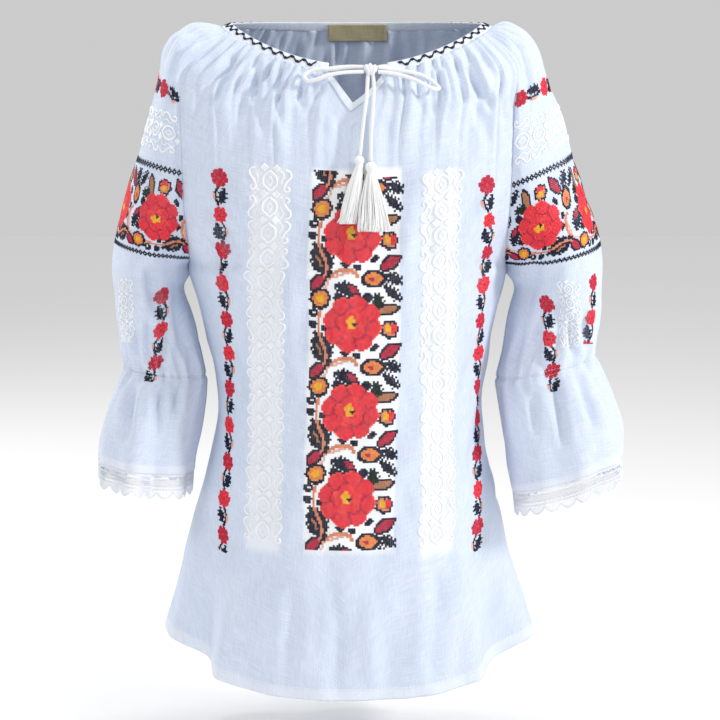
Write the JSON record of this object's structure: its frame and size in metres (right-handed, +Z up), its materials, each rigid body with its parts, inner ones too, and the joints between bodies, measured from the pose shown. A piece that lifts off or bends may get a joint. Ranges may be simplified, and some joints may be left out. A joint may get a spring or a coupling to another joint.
{
  "type": "folk blouse",
  "caption": "Gathered folk blouse with raglan three-quarter sleeves, lace cuffs, a slit neck and a drawstring tied in a bow with tassels, kept open in the shape it has when worn.",
  "frame": {"origin": "middle of the neck opening, level with the tops of the shoulders", "axes": "+Z up, -Y towards the front of the blouse, +X towards the wearer's left, which is the picture's right; a name with left in it lies on the picture's left, at -X"},
  "size_m": [0.5495, 0.268, 0.6831],
  "materials": {
    "cloth": "matt linen, plain weave",
    "trim": "matt white cotton",
    "label": "satin ribbon, blank",
    "cord": "matt twisted cotton"
  },
  "bodies": {
    "root": {"back_panel": "cloth", "bow_knot": "cord", "cord_lead_left": "cord", "cord_lead_right": "cord", "cord_loop_left": "cord", "cord_loop_right": "cord", "cord_tail_left": "cord", "cord_tail_right": "cord", "front_panel": "cloth", "label": "label", "lace_left": "trim", "lace_right": "trim", "neck_binding": "trim", "sleeve_left": "cloth", "sleeve_right": "cloth", "slit_binding": "trim", "tassel_left": "cord", "tassel_right": "cord"}
  },
  "joints": []
}
